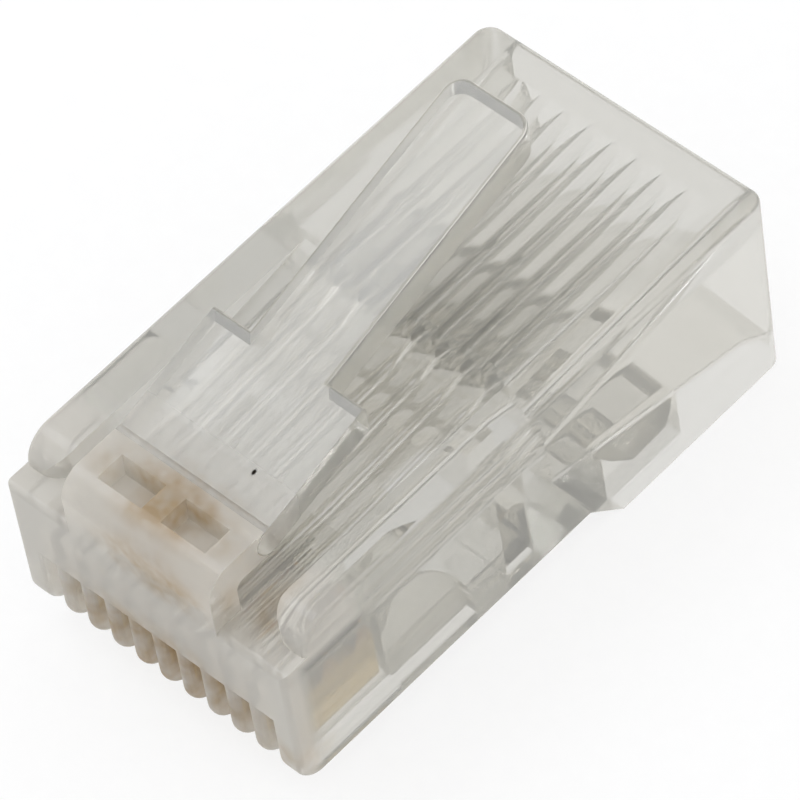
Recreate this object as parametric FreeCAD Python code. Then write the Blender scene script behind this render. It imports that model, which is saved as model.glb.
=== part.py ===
"""Uncrimped 8P8C (RJ45) modular plug for round cable.

Frame: X across the width, Y along the length, Z up. The plug lies on its contact side with the latch
on top. The nose that enters the jack is at -Y and the cable entry is at +Y. The origin is the centre
of the footprint, on the plane that the rear of the body rests on. Millimetres.

Every shape below is drawn with Y measured from the nose face; save() moves it to the frame's origin.
"""
import math
import os

import FreeCAD
import Part

Vector = FreeCAD.Vector

# Body envelope
LENGTH = 22.0
WIDTH = 11.68
HEIGHT = 8.0
NOSE_BASE = 1.1            # contact side of the nose, above the rest plane
NOSE_LIP = 6.85            # deck of the nose, ahead of and between the rails
STEP_START = 13.2          # the contact side steps down from here ...
STEP_END = 14.4            # ... to here
NOSE_RADIUS = 0.9          # lower front corner that leads into the jack
REAR_CORNER = 0.6
FRONT_CORNER = 0.25
TOP_EDGE = 0.18
RAIL_WIDTH = 1.5
RAIL_START = 0.95
RAIL_ROUND = 1.1
RAIL_FRONT_CORNER = 0.9
DECK_RAMP_START = 5.0
DECK_RAMP_END = 12.0

# Contact positions: ten slots, of which the middle eight hold contacts
PITCH = 1.02
SLOT_COUNT = 10
CONTACT_COUNT = 8
SLOT_WIDTH = 0.40
SLOT_END = 4.72
SLOT_FRONT_TOP = NOSE_BASE + 2.9     # how high a slot opens in the nose face
SLOT_TOP = NOSE_BASE + 4.5
SLOT_FRONT_WALL = 0.55
EMPTY_SLOT_TOP = NOSE_BASE + 4.15
EMPTY_SLOT_END = 8.1
RIB_ROUND = 0.29
RIB_FLATS = 5

# Conductor channels
CHANNEL_RADIUS = 0.47
CHANNEL_Z = NOSE_BASE + 4.0
CHANNEL_START = 0.95
FUNNEL_LENGTH = 0.9
FUNNEL_RADIUS = 0.66

# Cable cavity
CAVITY_START = 12.0
CAVITY_HALF_FRONT = 4.6
CAVITY_HALF_REAR = 4.95
CAVITY_FLOOR_REAR = 1.3
CAVITY_FLOOR_SLOPE = 0.205
CAVITY_CORNER = 0.5
CEILING_SLOPE = 0.2          # between the chutes, the ceiling falls towards the channels
CEILING_REAR = 7.25          # level ceiling over the mouth, and the crown of every chute
CHUTE_END = 21.0
CHUTE_HALF = 0.445           # chutes for the conductors, with thin fins between them
LEAD_IN_START = 20.6         # the floor drops away to the mouth from here
LEAD_IN_DROP = 0.75

# Latch
LATCH_WIDTH = 6.2
LATCH_THICKNESS = 1.15
LATCH_ANGLE = 17.2         # degrees above the deck when free
LATCH_BASE = NOSE_BASE + 7.0
HINGE_Y = 2.75
HINGE_Z = LATCH_BASE + LATCH_THICKNESS / 2
KNUCKLE = LATCH_THICKNESS / 2
FIT = 0.05                 # clearance of every moving seat
SHOULDER_Y = 7.15
TAB_WIDTH = 3.25
TAB_END = 16.8
TAB_ROUND = 0.65
LATCH_EDGE = 0.12
ROOT_ROUND = 1.0
ROOT_BACK = 1.1            # the latch leaves the nose here
POCKET_INNER = 0.4
POCKET_OUTER = 2.25
POCKET_START = 0.85
POCKET_END = 1.95
POCKET_DEPTH = 0.7
POCKET_DRAFT = 0.16        # how far each wall leans in towards the pocket's floor
DECK_RIB_X = 1.0
DECK_RIB_START = 4.2
DECK_RIB_END = 5.8
DECK_RIB_RADIUS = 0.11

# Contact blade
BLADE_THICKNESS = 0.35
BLADE_FRONT = 0.70
BLADE_REAR = 4.45
BLADE_BOTTOM = NOSE_BASE + 0.30
BLADE_SHOULDER = NOSE_BASE + 2.30
BLADE_TIP = NOSE_BASE + 3.45
BLADE_CORNER = 0.6
TINE_COUNT = 3
TINE_BASE = 0.78

# Conductor clamp bar
CLAMP_HALF = 4.25
CLAMP_FRONT = 9.75
CLAMP_REAR = 10.85
CLAMP_BOTTOM = NOSE_BASE + 0.35
CLAMP_TOP = NOSE_BASE + 2.85
CLAMP_BEVEL = 0.35

# Jacket clamp tongue
JACKET_HALF = 4.1
JACKET_HINGE_Y = 14.25
JACKET_HINGE_Z = 2.52
JACKET_KNUCKLE = 0.32
JACKET_REACH = 3.35
JACKET_DROP_ANGLE = 30.0


def yz_point(y, z):
    """A point of a lengthwise section."""
    return Vector(0, y, z)


def outline(start, *legs):
    """A closed wire in the lengthwise section.

    Each leg is its end point, or a pair of points (middle, end) for an arc.
    """
    edges = []
    here = start
    for leg in legs:
        if isinstance(leg, tuple):
            middle, end = leg
            edges.append(Part.Arc(here, middle, end).toShape())
        else:
            end = leg
            edges.append(Part.LineSegment(here, end).toShape())
        here = end
    if (here - start).Length > 1e-6:
        edges.append(Part.LineSegment(here, start).toShape())
    return Part.Wire(edges)


def prism(wire, x_from, x_to):
    """Extrude a lengthwise section across the width."""
    solid = Part.Face(wire).extrude(Vector(x_to - x_from, 0, 0))
    solid.translate(Vector(x_from, 0, 0))
    return solid


def block(x_range, y_range, z_range):
    """A box from its three ranges."""
    corner = Vector(x_range[0], y_range[0], z_range[0])
    return Part.makeBox(x_range[1] - x_range[0], y_range[1] - y_range[0], z_range[1] - z_range[0], corner)


def on_circle(centre_y, centre_z, radius, degrees):
    """A point on a circle of the lengthwise section, angle up from +Y."""
    angle = math.radians(degrees)
    return yz_point(centre_y + radius * math.cos(angle), centre_z + radius * math.sin(angle))


def slot_positions(count):
    """X of a row of positions, centred on the plug."""
    return [(index - (count - 1) / 2) * PITCH for index in range(count)]


def fillet_where(solid, radius, keep):
    """Fillet the edges whose end points satisfy keep(first, last)."""
    chosen = []
    for edge in solid.Edges:
        if len(edge.Vertexes) != 2:
            continue
        first, last = edge.Vertexes[0].Point, edge.Vertexes[1].Point
        if keep(first, last):
            chosen.append(edge)
    return solid.makeFillet(radius, chosen)


def body_blank():
    """Outer form of the body: stepped contact side, rounded rail fronts, rounded rear corners."""
    rail_centre_y = RAIL_START + RAIL_ROUND
    rail_centre_z = HEIGHT - RAIL_ROUND
    wire = outline(
        yz_point(0, NOSE_BASE + NOSE_RADIUS),
        (on_circle(NOSE_RADIUS, NOSE_BASE + NOSE_RADIUS, NOSE_RADIUS, 225), yz_point(NOSE_RADIUS, NOSE_BASE)),
        yz_point(STEP_START, NOSE_BASE),
        yz_point(STEP_END, 0),
        yz_point(LENGTH, 0),
        yz_point(LENGTH, HEIGHT),
        yz_point(rail_centre_y, HEIGHT),
        (on_circle(rail_centre_y, rail_centre_z, RAIL_ROUND, 135), yz_point(RAIL_START, rail_centre_z)),
        yz_point(RAIL_START, NOSE_LIP),
        yz_point(0, NOSE_LIP),
    )
    half = WIDTH / 2
    solid = prism(wire, -half, half)

    def upright_at(y):
        def keep(first, last):
            return abs(first.y - y) < 0.01 and abs(last.y - y) < 0.01 and abs(first.x - last.x) < 0.01
        return keep

    def long_top(first, last):
        level = abs(first.z - HEIGHT) < 0.01 and abs(last.z - HEIGHT) < 0.01
        return level and abs(first.x - last.x) < 0.01 and abs(abs(first.x) - half) < 0.01

    def lip(first, last):
        level = abs(first.z - NOSE_LIP) < 0.01 and abs(last.z - NOSE_LIP) < 0.01
        return level and abs(first.y) < 0.01 and abs(last.y) < 0.01

    def nose_edge(first, last):
        return lip(first, last) or upright_at(0)(first, last)

    solid = fillet_where(solid, FRONT_CORNER, nose_edge)
    solid = fillet_where(solid, REAR_CORNER, upright_at(LENGTH))
    return fillet_where(solid, TOP_EDGE, long_top)


def rail_valley():
    """Space between the rails: a level deck at the nose that ramps up to the roof."""
    wire = outline(
        yz_point(-1, NOSE_LIP),
        yz_point(DECK_RAMP_START, NOSE_LIP),
        yz_point(DECK_RAMP_END, HEIGHT),
        yz_point(DECK_RAMP_END, HEIGHT + 1),
        yz_point(-1, HEIGHT + 1),
    )
    half = WIDTH / 2 - RAIL_WIDTH
    valley = prism(wire, -half, half)
    for side in (-1, 1):
        valley = valley.fuse(rail_front_corner(side))
    return valley


def rail_front_corner(side):
    """Waste outside the rounded inner front corner of a rail, seen from above."""
    inner = WIDTH / 2 - RAIL_WIDTH
    centre_x = inner + RAIL_FRONT_CORNER
    centre_y = RAIL_START + RAIL_FRONT_CORNER
    low, high = NOSE_LIP, HEIGHT + 1
    waste = block((inner - 0.5, centre_x), (RAIL_START - 0.5, centre_y), (low, high))
    post = Part.makeCylinder(RAIL_FRONT_CORNER, high - low, Vector(centre_x, centre_y, low), Vector(0, 0, 1))
    waste = waste.cut(post)
    if side < 0:
        waste = waste.mirror(Vector(0, 0, 0), Vector(1, 0, 0))
    return waste


def deck_rib(side):
    """Low half-round rib on the deck under the latch."""
    start = Vector(side * DECK_RIB_X, DECK_RIB_START, NOSE_LIP)
    rib = Part.makeCylinder(DECK_RIB_RADIUS, DECK_RIB_END - DECK_RIB_START, start, Vector(0, 1, 0))
    return rib


def latch_root():
    """Front of the latch, solid with the nose, ending in the seat of the latch's hinge."""
    top = LATCH_BASE + LATCH_THICKNESS
    inner = 0.3
    corner_y = ROOT_BACK + inner
    corner_z = LATCH_BASE - inner
    wire = outline(
        yz_point(0, NOSE_LIP - 0.5),
        yz_point(0, top - ROOT_ROUND),
        (on_circle(ROOT_ROUND, top - ROOT_ROUND, ROOT_ROUND, 135), yz_point(ROOT_ROUND, top)),
        yz_point(HINGE_Y, top),
        yz_point(HINGE_Y, LATCH_BASE),
        yz_point(corner_y, LATCH_BASE),
        (on_circle(corner_y, corner_z, inner, 135), yz_point(ROOT_BACK, corner_z)),
        yz_point(ROOT_BACK, NOSE_LIP - 0.5),
    )
    half = LATCH_WIDTH / 2
    solid = prism(wire, -half, half)
    seat = Part.makeCylinder(KNUCKLE + FIT, WIDTH, Vector(-WIDTH / 2, HINGE_Y, HINGE_Z), Vector(1, 0, 0))
    solid = solid.cut(seat)
    for side in (-1, 1):
        solid = solid.cut(pocket(side, top))
    return solid


def pocket(side, rim):
    """Drafted pocket in the top of the latch root, which keeps the moulding there thin."""
    middle_x = side * (POCKET_INNER + POCKET_OUTER) / 2
    middle_y = (POCKET_START + POCKET_END) / 2

    def level(z, lean):
        half_x = (POCKET_OUTER - POCKET_INNER) / 2 - lean
        half_y = (POCKET_END - POCKET_START) / 2 - lean
        turns = ((-1, -1), (1, -1), (1, 1), (-1, 1), (-1, -1))
        return Part.makePolygon([Vector(middle_x + a * half_x, middle_y + b * half_y, z) for a, b in turns])

    return Part.makeLoft([level(rim - POCKET_DEPTH, POCKET_DRAFT), level(rim, 0)], True, True)


def contact_slot(x):
    """Slot for one contact: open below and at the nose face, walled above SLOT_FRONT_TOP."""
    left, right = x - SLOT_WIDTH / 2, x + SLOT_WIDTH / 2
    mouth = block((left, right), (-1, SLOT_END), (-1, SLOT_FRONT_TOP))
    tower = block((left, right), (SLOT_FRONT_WALL, SLOT_END), (NOSE_BASE, SLOT_TOP))
    return mouth.fuse(tower)


def empty_slot(x):
    """Outer slot without a contact: longer, with its rear end run out on a cutter's radius."""
    radius = 5.3
    centre_y = EMPTY_SLOT_END - radius
    shallow = EMPTY_SLOT_TOP - NOSE_BASE
    reach = math.degrees(math.asin(shallow / radius))
    wire = outline(
        yz_point(-1, -1),
        yz_point(EMPTY_SLOT_END, -1),
        yz_point(EMPTY_SLOT_END, NOSE_BASE),
        (on_circle(centre_y, NOSE_BASE, radius, reach / 2), on_circle(centre_y, NOSE_BASE, radius, reach)),
        yz_point(SLOT_FRONT_WALL, EMPTY_SLOT_TOP),
        yz_point(SLOT_FRONT_WALL, SLOT_FRONT_TOP),
        yz_point(-1, SLOT_FRONT_TOP),
    )
    return prism(wire, x - SLOT_WIDTH / 2, x + SLOT_WIDTH / 2)


def rib_rounding(x):
    """Flare that rounds the ribs on both sides of a slot: under the nose, round its bend and up its face.

    The round is drawn in RIB_FLATS narrow flats, because it is repeated along forty edges.
    """
    half = SLOT_WIDTH / 2
    wide = half + RIB_ROUND

    def corner(dx, dz):
        return Vector(x + dx, NOSE_RADIUS, NOSE_BASE + dz)

    def flare(side, step):
        turn = math.radians(90 * step / RIB_FLATS)
        return corner(side * (wide - RIB_ROUND * math.sin(turn)), RIB_ROUND * (1 - math.cos(turn)))

    steps = range(RIB_FLATS + 1)
    points = [corner(-wide, -RIB_ROUND)]
    points += [flare(-1, step) for step in steps]
    points += [flare(1, step) for step in reversed(steps)]
    points.append(corner(wide, -RIB_ROUND))
    profile = Part.Face(Part.makePolygon(points + points[:1]))
    bend_axis = Vector(0, NOSE_RADIUS, NOSE_BASE + NOSE_RADIUS)
    under = profile.extrude(Vector(0, SLOT_END - NOSE_RADIUS, 0))
    bend = profile.revolve(bend_axis, Vector(1, 0, 0), -90)
    upright = profile.copy()
    upright.rotate(bend_axis, Vector(1, 0, 0), -90)
    face = upright.extrude(Vector(0, 0, SLOT_FRONT_TOP - NOSE_BASE - NOSE_RADIUS))
    return under.fuse(bend).fuse(face)


def conductor_channel(x):
    """Bore for one conductor, with a funnel where it opens into the cable cavity."""
    along = Vector(0, 1, 0)
    reach = CAVITY_START - CHANNEL_START + 0.1
    bore = Part.makeCylinder(CHANNEL_RADIUS, reach, Vector(x, CHANNEL_START, CHANNEL_Z), along)
    funnel_start = Vector(x, CAVITY_START - FUNNEL_LENGTH, CHANNEL_Z)
    funnel = Part.makeCone(CHANNEL_RADIUS, FUNNEL_RADIUS, FUNNEL_LENGTH + 0.1, funnel_start, along)
    return bore.fuse(funnel)


def cavity_floor(y):
    """Height of the cable cavity's sloping floor."""
    return CAVITY_FLOOR_REAR + CAVITY_FLOOR_SLOPE * (LENGTH - y)


def cavity_ceiling(y):
    """Height of the sloping ceiling between the chutes, which is the fins' lower edge."""
    return CEILING_REAR - CEILING_SLOPE * (CHUTE_END - y)


def cavity_section(y, floor, ceiling):
    """Round-cornered rectangle across the cable cavity at one station."""
    share = (y - CAVITY_START) / (LENGTH - CAVITY_START)
    half = CAVITY_HALF_FRONT + share * (CAVITY_HALF_REAR - CAVITY_HALF_FRONT)
    right, high, low = half - CAVITY_CORNER, ceiling - CAVITY_CORNER, floor + CAVITY_CORNER
    edges = []
    last = None
    for centre_x, centre_z, start in ((right, high, 0), (-right, high, 90), (-right, low, 180), (right, low, 270)):
        turn = [math.radians(start + step) for step in (0, 45, 90)]
        points = [
            Vector(centre_x + CAVITY_CORNER * math.cos(angle), y, centre_z + CAVITY_CORNER * math.sin(angle))
            for angle in turn
        ]
        if last is not None:
            edges.append(Part.LineSegment(last, points[0]).toShape())
        edges.append(Part.Arc(*points).toShape())
        last = points[-1]
    edges.append(Part.LineSegment(last, edges[0].Vertexes[0].Point).toShape())
    return Part.Wire(edges)


def conductor_chute(x):
    """Round-topped way along the ceiling for one conductor, level while the ceiling beside it falls."""
    reach = CHUTE_END - CAVITY_START
    crown = CEILING_REAR - CHUTE_HALF
    ridge = Part.makeCylinder(CHUTE_HALF, reach, Vector(x, CAVITY_START, crown), Vector(0, 1, 0))
    sides = block((x - CHUTE_HALF, x + CHUTE_HALF), (CAVITY_START, CHUTE_END), (CHANNEL_Z, crown))
    return sides.fuse(ridge)


def cable_cavity():
    """Cable entry: a lead-in at the mouth, then floor and ceiling close in towards the channels."""
    mouth = LENGTH + 0.5
    mouth_floor = cavity_floor(LENGTH) - LEAD_IN_DROP * (mouth - LEAD_IN_START) / (LENGTH - LEAD_IN_START)
    break_floor = cavity_floor(LEAD_IN_START)
    level_floor = break_floor + (mouth_floor - break_floor) * (CHUTE_END - LEAD_IN_START) / (mouth - LEAD_IN_START)
    stations = (
        (CAVITY_START, cavity_floor(CAVITY_START), cavity_ceiling(CAVITY_START)),
        (LEAD_IN_START, break_floor, cavity_ceiling(LEAD_IN_START)),
        (CHUTE_END, level_floor, CEILING_REAR),
        (mouth, mouth_floor, CEILING_REAR),
    )
    cavity = Part.makeLoft([cavity_section(*station) for station in stations], True, True)
    for x in slot_positions(CONTACT_COUNT):
        cavity = cavity.fuse(conductor_chute(x))
    return cavity


def clamp_window():
    """Slot through the contact side for the conductor clamp bar."""
    across = CLAMP_HALF + FIT
    return block((-across, across), (CLAMP_FRONT - FIT, CLAMP_REAR + FIT), (-1, CHANNEL_Z))


def jacket_window():
    """Opening through the cavity floor for the jacket clamp, with the clamp's hinge seat."""
    across = JACKET_HALF + FIT
    rear = JACKET_HINGE_Y + JACKET_REACH + 0.1
    opening = block((-across, across), (JACKET_HINGE_Y, rear), (-1, JACKET_HINGE_Z + 1.2))
    seat = Part.makeCylinder(
        JACKET_KNUCKLE + FIT, 2 * across, Vector(-across, JACKET_HINGE_Y, JACKET_HINGE_Z), Vector(1, 0, 0)
    )
    return opening.fuse(seat)


def make_housing():
    """The clear one-piece moulding."""
    housing = body_blank().cut(rail_valley())
    housing = housing.fuse(latch_root())
    for side in (-1, 1):
        housing = housing.fuse(deck_rib(side))
    cutters = [cable_cavity(), clamp_window(), jacket_window()]
    row = slot_positions(SLOT_COUNT)
    for x in row:
        cutters.append(rib_rounding(x))
    for x in row[1:-1]:
        cutters.append(contact_slot(x))
        cutters.append(conductor_channel(x))
    for x in (row[0], row[-1]):
        cutters.append(empty_slot(x))
    for cutter in cutters:
        housing = housing.cut(cutter)
    return housing.removeSplitter()


def make_latch():
    """Locking tab: hinge knuckle, wide shouldered part and narrow finger tab."""
    slope = math.tan(math.radians(LATCH_ANGLE))
    top = LATCH_BASE + LATCH_THICKNESS

    def plank(y_end):
        rise = (y_end - HINGE_Y) * slope
        return outline(
            yz_point(HINGE_Y, LATCH_BASE),
            yz_point(y_end, LATCH_BASE + rise),
            yz_point(y_end, top + rise),
            yz_point(HINGE_Y, top),
        )

    wide = prism(plank(SHOULDER_Y), -LATCH_WIDTH / 2, LATCH_WIDTH / 2)
    tab = prism(plank(TAB_END), -TAB_WIDTH / 2, TAB_WIDTH / 2)
    trim = block((-TAB_WIDTH, TAB_WIDTH), (TAB_END - 4, TAB_END), (LATCH_BASE, LATCH_BASE + 8))
    plan = block((-TAB_WIDTH / 2, TAB_WIDTH / 2), (-1, TAB_END), (LATCH_BASE - 1, LATCH_BASE + 8))

    def end_upright(first, last):
        return abs(first.y - TAB_END) < 0.01 and abs(last.y - TAB_END) < 0.01 and abs(first.x - last.x) < 0.01

    plan = fillet_where(plan, TAB_ROUND, end_upright)
    tab = tab.cut(trim.cut(plan))
    knuckle = Part.makeCylinder(
        KNUCKLE, LATCH_WIDTH, Vector(-LATCH_WIDTH / 2, HINGE_Y, HINGE_Z), Vector(1, 0, 0)
    )
    solid = wide.fuse(tab).removeSplitter()

    def upper_edge(first, last):
        over = top + (first.y - HINGE_Y) * slope
        level = abs(first.z - over) < 0.01 and abs(last.z - top - (last.y - HINGE_Y) * slope) < 0.01
        return level and first.y > HINGE_Y + 0.1 and last.y > HINGE_Y + 0.1

    solid = fillet_where(solid, LATCH_EDGE, upper_edge)
    return solid.fuse(knuckle).removeSplitter()


def make_contact(x):
    """Insulation-piercing blade with a row of tines along its upper edge."""
    legs = [yz_point(BLADE_REAR, BLADE_BOTTOM), yz_point(BLADE_REAR, BLADE_SHOULDER)]
    tip_flat = 0.06
    margin = (BLADE_REAR - BLADE_FRONT - TINE_COUNT * TINE_BASE) / (TINE_COUNT - 1)
    for index in range(TINE_COUNT):
        rear = BLADE_REAR - index * (TINE_BASE + margin)
        peak = rear - TINE_BASE / 2
        legs.append(yz_point(rear, BLADE_SHOULDER))
        legs.append(yz_point(peak + tip_flat, BLADE_TIP))
        legs.append(yz_point(peak - tip_flat, BLADE_TIP))
        legs.append(yz_point(rear - TINE_BASE, BLADE_SHOULDER))
    del legs[2]
    corner_y = BLADE_FRONT + BLADE_CORNER
    corner_z = BLADE_BOTTOM + BLADE_CORNER
    legs.append(yz_point(BLADE_FRONT, corner_z))
    legs.append((on_circle(corner_y, corner_z, BLADE_CORNER, 225), yz_point(corner_y, BLADE_BOTTOM)))
    wire = outline(yz_point(corner_y, BLADE_BOTTOM), *legs)
    return prism(wire, x - BLADE_THICKNESS / 2, x + BLADE_THICKNESS / 2)


def make_conductor_clamp():
    """Bar that the crimp tool drives up against the conductors."""
    wire = outline(
        yz_point(CLAMP_FRONT, CLAMP_BOTTOM),
        yz_point(CLAMP_REAR, CLAMP_BOTTOM),
        yz_point(CLAMP_REAR, CLAMP_TOP - CLAMP_BEVEL),
        yz_point(CLAMP_REAR - CLAMP_BEVEL, CLAMP_TOP),
        yz_point(CLAMP_FRONT + CLAMP_BEVEL, CLAMP_TOP),
        yz_point(CLAMP_FRONT, CLAMP_TOP - CLAMP_BEVEL),
    )
    return prism(wire, -CLAMP_HALF, CLAMP_HALF)


def make_jacket_clamp():
    """Wedge-shaped tongue that swings up to grip the cable jacket; its rear face clears the window."""
    hinge = (JACKET_HINGE_Y, JACKET_HINGE_Z)
    top_start = yz_point(hinge[0], hinge[1] + JACKET_KNUCKLE)
    fall = math.degrees(math.atan(CAVITY_FLOOR_SLOPE))
    bottom = -JACKET_DROP_ANGLE
    wire = outline(
        top_start,
        on_circle(*hinge, JACKET_REACH, -fall / 2),
        (on_circle(*hinge, JACKET_REACH, (bottom - fall / 2) / 2), on_circle(*hinge, JACKET_REACH, bottom)),
        yz_point(hinge[0] + 1.35, hinge[1] - 1.75),
        yz_point(hinge[0] + 0.45, hinge[1] - 0.9),
        yz_point(hinge[0], hinge[1] - JACKET_KNUCKLE),
    )
    tongue = prism(wire, -JACKET_HALF, JACKET_HALF)
    knuckle = Part.makeCylinder(
        JACKET_KNUCKLE, 2 * JACKET_HALF, Vector(-JACKET_HALF, *hinge), Vector(1, 0, 0)
    )
    return tongue.fuse(knuckle).removeSplitter()


def save(name, shape):
    """Move a shape to the frame's origin and write its STEP file."""
    shape.translate(Vector(0, -LENGTH / 2, 0))
    shape.exportStep(os.path.join("parts", name + ".step"))


def main():
    os.makedirs("parts", exist_ok=True)
    save("housing", make_housing())
    save("latch", make_latch())
    save("conductor_clamp", make_conductor_clamp())
    save("jacket_clamp", make_jacket_clamp())
    for index, x in enumerate(slot_positions(CONTACT_COUNT)):
        save("contact_{}".format(index + 1), make_contact(x))


main()
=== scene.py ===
"""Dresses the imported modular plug: clear moulded shell, latch, cable clamps and eight gold-plated blades."""

import enum
import logging
import math
from dataclasses import dataclass, field

import bmesh
import bpy
from mathutils import Matrix, Vector

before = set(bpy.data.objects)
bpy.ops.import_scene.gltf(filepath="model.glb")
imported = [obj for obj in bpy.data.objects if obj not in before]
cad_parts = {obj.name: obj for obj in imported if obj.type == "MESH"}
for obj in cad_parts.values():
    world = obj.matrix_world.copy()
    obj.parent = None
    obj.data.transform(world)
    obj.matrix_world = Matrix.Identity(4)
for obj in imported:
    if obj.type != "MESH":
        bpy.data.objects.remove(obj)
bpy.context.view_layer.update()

MM = 0.001
LOG = logging.getLogger("plug")
Axes = bpy.types.NodeOutputs | dict[str, bpy.types.NodeSocket]


def linear(shade: str) -> tuple[float, float, float, float]:
    """Turns an sRGB hex colour into linear light.

    Args:
        shade: six hex digits, such as "C8C6C2".

    Returns:
        Red, green, blue and an alpha of one.
    """
    parts = [int(shade[i:i + 2], 16) / 255 for i in (0, 2, 4)]
    light = [p / 12.92 if p <= 0.04045 else ((p + 0.055) / 1.055) ** 2.4 for p in parts]
    return (light[0], light[1], light[2], 1.0)


def add_node(tree: bpy.types.NodeTree, kind: str, settings: dict | None = None,
             inputs: dict | None = None) -> bpy.types.Node:
    """Adds one node with its settings, values and links.

    Args:
        tree: the node tree that takes the node.
        kind: the node's type name.
        settings: the node's own options by name.
        inputs: socket name or number, with a value or the output socket to link.

    Returns:
        The new node.
    """
    node = tree.nodes.new(kind)
    for name, value in (settings or {}).items():
        setattr(node, name, value)
    for name, value in (inputs or {}).items():
        if isinstance(value, bpy.types.NodeSocket):
            tree.links.new(value, node.inputs[name])
        else:
            node.inputs[name].default_value = value
    return node


def new_material(name: str) -> tuple[bpy.types.Material, bpy.types.NodeTree, bpy.types.NodeSocket]:
    """Starts an empty node material.

    Args:
        name: the real material and how its surface was made.

    Returns:
        The material, its node tree and the object coordinates that its patterns read.
    """
    material = bpy.data.materials.new(name)
    material.use_nodes = True
    tree = material.node_tree
    tree.nodes.clear()
    place = add_node(tree, "ShaderNodeTexCoord").outputs["Object"]
    return material, tree, place


class Axis(enum.Enum):
    """The plug's own directions: across the width, nose to cable entry, contact side to latch side."""

    ACROSS = "X"
    ALONG = "Y"
    UP = "Z"


class Join(enum.Enum):
    """Ways to join two masks: both must hold, or either is enough."""

    BOTH = "MULTIPLY"
    EITHER = "MAXIMUM"


@dataclass(frozen=True)
class Band:
    """A soft-edged stretch of the plug along one axis, in millimetres: zero at start, one at full."""

    axis: Axis
    start: float
    full: float

    def mask(self, tree: bpy.types.NodeTree, axes: Axes) -> bpy.types.NodeSocket:
        """Adds the nodes that fade the band in.

        Args:
            tree: the material's node tree.
            axes: object coordinates split into X, Y and Z.

        Returns:
            A value from zero to one.
        """
        return add_node(tree, "ShaderNodeMapRange", {"interpolation_type": "SMOOTHSTEP"}, {
            "Value": axes[self.axis.value], "From Min": self.start * MM, "From Max": self.full * MM,
        }).outputs["Result"]


def join_masks(tree: bpy.types.NodeTree, how: Join,
               *masks: bpy.types.NodeSocket | float) -> bpy.types.NodeSocket:
    """Joins masks pair by pair.

    Args:
        tree: the material's node tree.
        how: whether both masks must hold, or either is enough.
        masks: what is joined, in order.

    Returns:
        The joined mask.
    """
    joined = masks[0]
    for mask in masks[1:]:
        joined = add_node(tree, "ShaderNodeMath", {"operation": how.value}, {
            0: joined, 1: mask}).outputs["Value"]
    return joined


def seen_ray(tree: bpy.types.NodeTree) -> bpy.types.NodeSocket:
    """Tells the rays that show the backdrop: straight from the eye, off gloss or through clear plastic.

    Args:
        tree: the node tree of the floor or the room.

    Returns:
        A value of one for such rays and zero for the rest.
    """
    path = add_node(tree, "ShaderNodeLightPath").outputs
    return join_masks(
        tree, Join.EITHER, path["Is Camera Ray"], path["Is Glossy Ray"], path["Is Transmission Ray"])


@dataclass(frozen=True)
class Patch:
    """A soft-edged spot on the plug, in millimetres.

    It is full over the solid part of its reach, and fades to nothing at its reach along each axis.
    """

    centre: tuple[float, float, float]
    reach: tuple[float, float, float]
    share: float = 1.0
    solid_part: float = 0.35

    def mask(self, tree: bpy.types.NodeTree, place: bpy.types.NodeSocket) -> bpy.types.NodeSocket:
        """Adds the nodes that fade the spot out from its centre.

        Args:
            tree: the material's node tree.
            place: object coordinates.

        Returns:
            A value from zero to the patch's share.
        """
        offset = add_node(tree, "ShaderNodeVectorMath", {"operation": "SUBTRACT"}, {
            0: place, 1: [c * MM for c in self.centre]}).outputs["Vector"]
        scaled = add_node(tree, "ShaderNodeVectorMath", {"operation": "DIVIDE"}, {
            0: offset, 1: [r * MM for r in self.reach]}).outputs["Vector"]
        distance = add_node(tree, "ShaderNodeVectorMath", {"operation": "LENGTH"}, {0: scaled})
        return add_node(tree, "ShaderNodeMapRange", {"interpolation_type": "SMOOTHSTEP"}, {
            "Value": distance.outputs["Value"], "From Min": 1.0, "From Max": self.solid_part,
            "To Max": self.share}).outputs["Result"]


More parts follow.
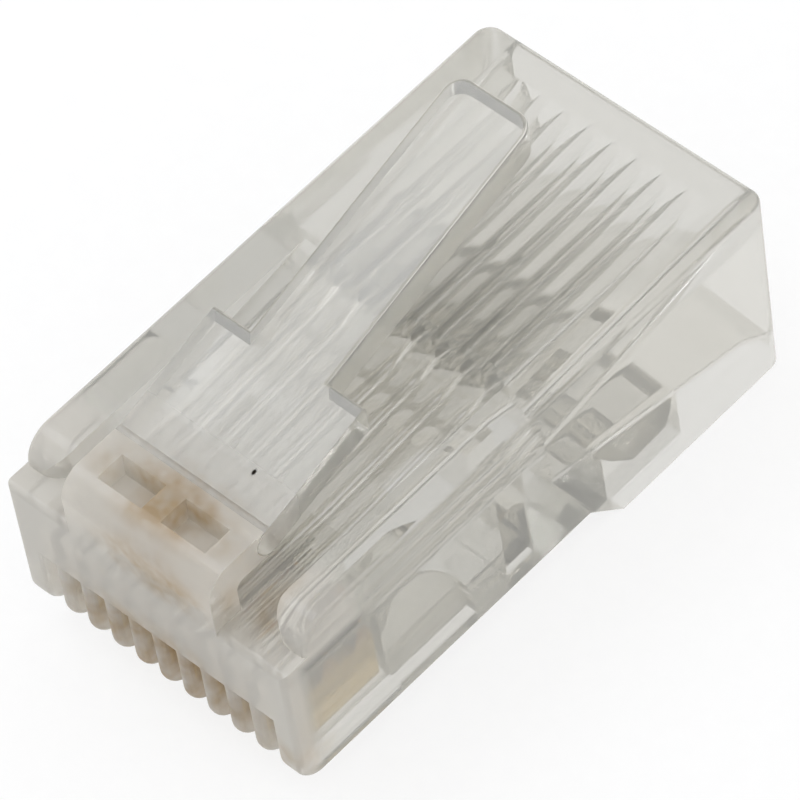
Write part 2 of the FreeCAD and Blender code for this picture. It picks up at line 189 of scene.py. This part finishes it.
@dataclass(frozen=True)
class ClearPolycarbonate:
    """Water-clear polycarbonate, injection moulded in polished steel.

    It gives the eye glossy edges and bent views of what lies behind, a thin pale haze
    over each outer skin, more of it on the nose and round the gate at the latch's root,
    clearer walls inside, tan grime in the corners, and slow waves where the melt flowed.
    Sizes and places are in millimetres.
    """

    name: str = "moulded clear polycarbonate"
    # The clear melt, the veil of haze on it, the milky gate end, tan grime and black dirt.
    clear: str = "F8F7F4"
    veil: str = "E8E8E4"
    frosted: str = "F3F0EA"
    tan: str = "C7A878"
    dirt: str = "2A2622"
    # Roughness where the polish is best and where handling has dulled it.
    ior: float = 1.585
    rough: tuple[float, float] = (0.01, 0.06)
    # How much of a plain skin and of a milky one is haze, and the share of its light that it passes on.
    haze: float = 0.3
    frost: float = 0.62
    passed_on: float = 0.5
    # Waves of the melt's flow.
    flow_width: float = 2.4
    flow_height: float = 0.003
    flow_stretch: float = 0.45
    # Handling clouds, with the levels between which they dull the polish and gather grime.
    cloud_width: float = 1.1
    cloud_rough: tuple[float, float] = (0.3, 0.7)
    cloud_stain: tuple[float, float] = (0.33, 0.62)
    least_stain: float = 0.12
    # Where the skin is milky: the nose's front face, and the deck round the latch's root.
    face: Band = Band(Axis.ALONG, -9.9, -10.5)
    deck: Band = Band(Axis.UP, 6.2, 6.9)
    root: Band = Band(Axis.ALONG, -6.9, -8.3)
    # What lies within the outer skin, and how much of the haze and waves its walls keep.
    core_haze: float = 0.2
    core: tuple[Band, ...] = (
        Band(Axis.ACROSS, 5.3, 5.0), Band(Axis.ALONG, -10.2, -9.2),
        Band(Axis.UP, 6.5, 6.2), Band(Axis.UP, 1.15, 1.3))
    stains: tuple[Patch, ...] = (
        Patch((0.0, -9.5, 9.2), (3.6, 1.5, 1.0), 0.9),
        Patch((0.6, -10.4, 7.6), (3.6, 1.4, 1.5), 0.8),
        Patch((3.9, -9.2, 7.4), (1.0, 1.8, 1.2), 0.7),
        Patch((0.0, -10.9, 2.6), (5.8, 1.2, 2.6), 0.7),
        Patch((5.2, -10.2, 2.2), (1.2, 1.6, 1.4), 0.5))
    speck: Patch | None = None

    def frosty(self, tree: bpy.types.NodeTree, axes: Axes) -> bpy.types.NodeSocket:
        """Masks the milky skin: the nose's front face, and the gate round the latch's root.

        Args:
            tree: the material's node tree.
            axes: object coordinates split into X, Y and Z.

        Returns:
            A value from zero to one.
        """
        gate = join_masks(tree, Join.BOTH, self.deck.mask(tree, axes), self.root.mask(tree, axes))
        return join_masks(tree, Join.EITHER, gate, self.face.mask(tree, axes))

    def stained(self, tree: bpy.types.NodeTree, place: bpy.types.NodeSocket,
                cloud: bpy.types.NodeSocket) -> bpy.types.NodeSocket:
        """Masks the tan grime, broken up by the handling clouds.

        Args:
            tree: the material's node tree.
            place: object coordinates.
            cloud: the handling clouds.

        Returns:
            A value from zero to one.
        """
        cloudy = add_node(tree, "ShaderNodeMapRange", inputs={
            "Value": cloud, "From Min": self.cloud_stain[0], "From Max": self.cloud_stain[1],
            "To Min": self.least_stain, "To Max": 1.0}).outputs["Result"]
        spread = join_masks(tree, Join.EITHER, *[patch.mask(tree, place) for patch in self.stains])
        return join_masks(tree, Join.BOTH, spread, cloudy)

    def polished(self, tree: bpy.types.NodeTree, axes: Axes) -> bpy.types.NodeSocket:
        """Tells outer skin from the walls that polished core pins leave in slots, bores and cavity.

        Args:
            tree: the material's node tree.
            axes: object coordinates split into X, Y and Z.

        Returns:
            A value of one on the skin, down to the core's share of haze and waves inside.
        """
        aside = add_node(tree, "ShaderNodeMath", {"operation": "ABSOLUTE"}, {0: axes["X"]}).outputs["Value"]
        halves = {"X": aside, "Y": axes["Y"], "Z": axes["Z"]}
        inside = join_masks(tree, Join.BOTH, *[band.mask(tree, halves) for band in self.core])
        return add_node(tree, "ShaderNodeMapRange", inputs={
            "Value": inside, "To Min": 1.0, "To Max": self.core_haze}).outputs["Result"]

    def material(self) -> bpy.types.Material:
        """Builds the material with its flow waves, frosted gate end, stains and handling marks.

        Returns:
            The finished material.
        """
        material, tree, place = new_material(self.name)
        axes = add_node(tree, "ShaderNodeSeparateXYZ", inputs={"Vector": place}).outputs
        # Melt flow: swells about 2.4 mm across, drawn out along the plug.
        flow = add_node(tree, "ShaderNodeMapping", inputs={
            "Vector": place, "Scale": (1.0, self.flow_stretch, 1.0)}).outputs["Vector"]
        waves = add_node(tree, "ShaderNodeTexNoise", inputs={
            "Vector": flow, "Scale": 1 / (self.flow_width * MM), "Detail": 1.0, "Roughness": 0.4,
        }).outputs["Fac"]
        # Handling: soft clouds about a millimetre across, where grime gathers and the polish has dulled.
        cloud = add_node(tree, "ShaderNodeTexNoise", inputs={
            "Vector": place, "Scale": 1 / (self.cloud_width * MM), "Detail": 2.0, "Roughness": 0.6,
        }).outputs["Fac"]
        frosty = self.frosty(tree, axes)
        stained = self.stained(tree, place, cloud)
        polished = self.polished(tree, axes)
        pale = add_node(tree, "ShaderNodeMix", {"data_type": "RGBA"}, {
            "Factor": frosty, "A": linear(self.veil), "B": linear(self.frosted)}).outputs["Result"]
        skin = add_node(tree, "ShaderNodeMix", {"data_type": "RGBA"}, {
            "Factor": stained, "A": pale, "B": linear(self.tan)}).outputs["Result"]
        bump = add_node(tree, "ShaderNodeBump", inputs={
            "Height": join_masks(tree, Join.BOTH, waves, polished), "Strength": 1.0,
            "Distance": self.flow_height * MM}).outputs["Normal"]
        rough = add_node(tree, "ShaderNodeMapRange", inputs={
            "Value": cloud, "From Min": self.cloud_rough[0], "From Max": self.cloud_rough[1],
            "To Min": self.rough[0], "To Max": self.rough[1]}).outputs["Result"]
        dull = add_node(tree, "ShaderNodeMapRange", inputs={
            "Value": join_masks(tree, Join.EITHER, frosty, stained),
            "To Min": self.haze, "To Max": self.frost})
        haze = join_masks(tree, Join.BOTH, dull.outputs["Result"], polished)
        if self.speck:
            dirt = self.speck.mask(tree, place)
            skin = add_node(tree, "ShaderNodeMix", {"data_type": "RGBA"}, {
                "Factor": dirt, "A": skin, "B": linear(self.dirt)}).outputs["Result"]
            haze = join_masks(tree, Join.EITHER, haze, dirt)
        clear = add_node(tree, "ShaderNodeBsdfGlass", inputs={
            "Color": linear(self.clear), "Roughness": rough, "IOR": self.ior, "Normal": bump})
        # The haze throws part of its light back and sends the rest on through the skin.
        thrown_back = add_node(tree, "ShaderNodeBsdfDiffuse", inputs={"Color": skin, "Normal": bump})
        sent_on = add_node(tree, "ShaderNodeBsdfTranslucent", inputs={"Color": skin, "Normal": bump})
        milky = add_node(tree, "ShaderNodeMixShader", inputs={
            0: self.passed_on, 1: thrown_back.outputs["BSDF"], 2: sent_on.outputs["BSDF"]})
        both = add_node(tree, "ShaderNodeMixShader", inputs={
            0: haze, 1: clear.outputs["BSDF"], 2: milky.outputs["Shader"]})
        add_node(tree, "ShaderNodeOutputMaterial", inputs={"Surface": both.outputs["Shader"]})
        return material


@dataclass(frozen=True)
class GoldPlatedBronze:
    """Phosphor bronze blades, stamped, then gold plated over nickel on the contact edge.

    It gives the eye a warm bright edge that dulls to brown copper towards the tines.
    Sizes and places are in millimetres.
    """

    name: str = "gold plated phosphor bronze"
    gold: str = "FBDD92"
    bronze: str = "C8964E"
    # Heights between which the plating gives way to bare bronze.
    plating_edge: tuple[float, float] = (3.1, 3.9)
    # Drag lines of the stamping, with the levels between which they roughen the metal.
    drag_width: float = 0.12
    drag_depth: float = 0.002
    drag_stretch: float = 0.15
    drag_range: tuple[float, float] = (0.3, 0.8)
    rough: tuple[float, float] = (0.16, 0.34)

    def material(self) -> bpy.types.Material:
        """Builds the metal with its plating line and stamping marks.

        Returns:
            The finished material.
        """
        material, tree, place = new_material(self.name)
        height = add_node(tree, "ShaderNodeSeparateXYZ", inputs={"Vector": place}).outputs["Z"]
        bare = add_node(tree, "ShaderNodeMapRange", inputs={
            "Value": height, "From Min": self.plating_edge[0] * MM, "From Max": self.plating_edge[1] * MM,
        }).outputs["Result"]
        # Stamping drag: lines about 0.12 mm apart, running up the blade.
        drawn = add_node(tree, "ShaderNodeMapping", inputs={
            "Vector": place, "Scale": (1.0, 1.0, self.drag_stretch)}).outputs["Vector"]
        drag = add_node(tree, "ShaderNodeTexNoise", inputs={
            "Vector": drawn, "Scale": 1 / (self.drag_width * MM), "Detail": 3.0}).outputs["Fac"]
        bump = add_node(tree, "ShaderNodeBump", inputs={
            "Height": drag, "Strength": 0.5, "Distance": self.drag_depth * MM}).outputs["Normal"]
        colour = add_node(tree, "ShaderNodeMix", {"data_type": "RGBA"}, {
            "Factor": bare, "A": linear(self.gold), "B": linear(self.bronze)}).outputs["Result"]
        rough = add_node(tree, "ShaderNodeMapRange", inputs={
            "Value": drag, "From Min": self.drag_range[0], "From Max": self.drag_range[1],
            "To Min": self.rough[0], "To Max": self.rough[1]}).outputs["Result"]
        metal = add_node(tree, "ShaderNodeBsdfPrincipled", inputs={
            "Base Color": colour, "Metallic": 1.0, "Roughness": rough, "Normal": bump})
        add_node(tree, "ShaderNodeOutputMaterial", inputs={"Surface": metal.outputs["BSDF"]})
        return material


def paint(node: bpy.types.Object, material: bpy.types.Material) -> None:
    """Puts one material in every slot of a piece.

    Args:
        node: the piece.
        material: what it is made of.
    """
    if not node.data.materials:
        node.data.materials.append(material)
    for i in range(len(node.data.materials)):
        node.data.materials[i] = material


@dataclass
class PlugBody:
    """The clear moulding: shell with latch, conductor clamp and jacket clamp."""

    shell: ClearPolycarbonate = field(default_factory=ClearPolycarbonate)
    spring: ClearPolycarbonate = field(default_factory=lambda: ClearPolycarbonate(
        name="moulded clear polycarbonate latch", haze=0.2, frost=0.34,
        deck=Band(Axis.UP, 7.0, 8.0), root=Band(Axis.ALONG, -6.0, -8.0),
        stains=(Patch((0.4, -8.6, 9.3), (3.2, 0.9, 0.9), 0.5),),
        speck=Patch((1.53, -7.21, 9.57), (0.11, 0.17, 0.2))))
    pieces: tuple[str, ...] = ("housing", "latch", "conductor_clamp", "jacket_clamp")

    def build(self) -> list[bpy.types.Object]:
        """Dresses the clear mouldings.

        Returns:
            The dressed pieces.
        """
        shell = self.shell.material()
        spring = self.spring.material()
        nodes = [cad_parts[name] for name in self.pieces]
        for node in nodes:
            paint(node, spring if node.name == "latch" else shell)
        return nodes


@dataclass
class ContactRow:
    """The eight stamped blades in the nose slots."""

    metal: GoldPlatedBronze = field(default_factory=GoldPlatedBronze)
    count: int = 8

    def build(self) -> list[bpy.types.Object]:
        """Dresses the blades.

        Returns:
            The dressed pieces.
        """
        material = self.metal.material()
        nodes = [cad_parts[f"contact_{i}"] for i in range(1, self.count + 1)]
        for node in nodes:
            paint(node, material)
        return nodes


@dataclass(frozen=True)
class MattCard:
    """Matt white card, which shows white to the eye and still takes the plug's shadow.

    It gives the eye a plain ground with the faintest fibre mottle, about 0.8 mm across.
    """

    name: str = "matt white card"
    shade: str = "FAFAFA"
    white: str = "FFFFFF"
    fibre: float = 0.8
    fibre_range: tuple[float, float] = (0.3, 0.7)
    glow: float = 0.8

    def material(self) -> bpy.types.Material:
        """Builds the card, which glows only to the rays that show the backdrop.

        Returns:
            The finished material.
        """
        material, tree, place = new_material(self.name)
        mottle = add_node(tree, "ShaderNodeTexNoise", inputs={
            "Vector": place, "Scale": 1 / (self.fibre * MM)})
        share = add_node(tree, "ShaderNodeMapRange", inputs={
            "Value": mottle.outputs["Fac"], "From Min": self.fibre_range[0], "From Max": self.fibre_range[1]})
        tone = add_node(tree, "ShaderNodeMix", {"data_type": "RGBA"}, {
            "Factor": share.outputs["Result"], "A": linear(self.shade), "B": linear(self.white)})
        card = add_node(tree, "ShaderNodeBsdfDiffuse", inputs={"Color": tone.outputs["Result"]})
        white = add_node(tree, "ShaderNodeEmission", inputs={"Color": linear(self.white), "Strength": 1.0})
        both = add_node(tree, "ShaderNodeMixShader", inputs={
            0: join_masks(tree, Join.BOTH, seen_ray(tree), self.glow),
            1: card.outputs["BSDF"], 2: white.outputs["Emission"]})
        add_node(tree, "ShaderNodeOutputMaterial", inputs={"Surface": both.outputs["Shader"]})
        return material


@dataclass
class Studio:
    """Pale floor, plain room light, one soft lamp and a long-lens camera, in millimetres and degrees."""

    # Camera: a long lens on a line of sight through the plug's middle.
    lens: float = 315.0
    film_width: float = 36.0
    distance: float = 215.21
    azimuth: float = 50.65
    elevation: float = 52.36
    roll: float = -9.89
    aim: tuple[float, float, float] = (0.306, -0.200, 4.820)
    nearest: float = 10.0
    farthest: float = 5000.0
    # Floor and room.
    card: MattCard = field(default_factory=MattCard)
    floor_span: float = 600.0
    room_shade: str = "FFFFFF"
    room_level: float = 0.94
    # Lamp, above and to the left of the plug.
    lamp_place: tuple[float, float, float] = (-118.0, -33.0, 218.0)
    lamp_side: float = 110.0
    lamp_watts: float = 0.1
    lamp_tint: str = "EDF2FF"

    def camera(self) -> None:
        """Places the camera on its line of sight to the plug."""
        turn = math.radians(self.azimuth)
        lift = math.radians(self.elevation)
        back = Vector((math.sin(turn) * math.cos(lift), -math.cos(turn) * math.cos(lift), math.sin(lift)))
        optics = bpy.data.cameras.new("camera")
        optics.lens = self.lens
        optics.sensor_width = self.film_width
        optics.clip_start = self.nearest * MM
        optics.clip_end = self.farthest * MM
        camera = bpy.data.objects.new("camera", optics)
        bpy.context.scene.collection.objects.link(camera)
        place = Matrix.Translation((Vector(self.aim) + back * self.distance) * MM)
        look = back.to_track_quat("Z", "Y").to_matrix().to_4x4()
        camera.matrix_world = place @ look @ Matrix.Rotation(math.radians(self.roll), 4, "Z")
        bpy.context.scene.camera = camera

    def floor(self) -> None:
        """Lays the pale floor under the plug."""
        sheet = bmesh.new()
        bmesh.ops.create_grid(sheet, x_segments=1, y_segments=1, size=self.floor_span * MM / 2)
        mesh = bpy.data.meshes.new("floor")
        sheet.to_mesh(mesh)
        sheet.free()
        mesh.materials.append(self.card.material())
        floor = bpy.data.objects.new("floor", mesh)
        bpy.context.scene.collection.objects.link(floor)

    def lamp(self) -> None:
        """Hangs the soft square lamp so that it faces the plug."""
        light = bpy.data.lights.new("key_lamp", "AREA")
        light.shape = "SQUARE"
        light.size = self.lamp_side * MM
        light.energy = self.lamp_watts
        light.color = linear(self.lamp_tint)[:3]
        lamp = bpy.data.objects.new("key_lamp", light)
        bpy.context.scene.collection.objects.link(lamp)
        spot = Vector(self.lamp_place) * MM
        lamp.matrix_world = Matrix.Translation(spot) @ spot.to_track_quat("Z", "Y").to_matrix().to_4x4()

    def world(self) -> None:
        """Fills the room with plain soft light, and shows it white."""
        room = bpy.data.worlds.new("studio")
        bpy.context.scene.world = room
        room.use_nodes = True
        tree = room.node_tree
        tree.nodes.clear()
        level = add_node(tree, "ShaderNodeMapRange", inputs={
            "Value": seen_ray(tree), "To Min": self.room_level, "To Max": 1.0})
        glow = add_node(tree, "ShaderNodeBackground", inputs={
            "Color": linear(self.room_shade), "Strength": level.outputs["Result"]})
        add_node(tree, "ShaderNodeOutputWorld", inputs={"Surface": glow.outputs["Background"]})

    def build(self) -> None:
        """Sets up camera, floor, lamp and room light, with colours shown as they are written."""
        self.camera()
        self.floor()
        self.lamp()
        self.world()
        bpy.context.scene.view_settings.view_transform = "Standard"


def main() -> None:
    """Builds the studio and every sub-assembly, then logs the material on each piece."""
    logging.basicConfig(level=logging.INFO, format="%(name)s: %(message)s")
    Studio().build()
    for assembly in (PlugBody(), ContactRow()):
        for piece in assembly.build():
            LOG.info("%s dressed in %s", piece.name, piece.data.materials[0].name)


if __name__ == "__main__":
    main()
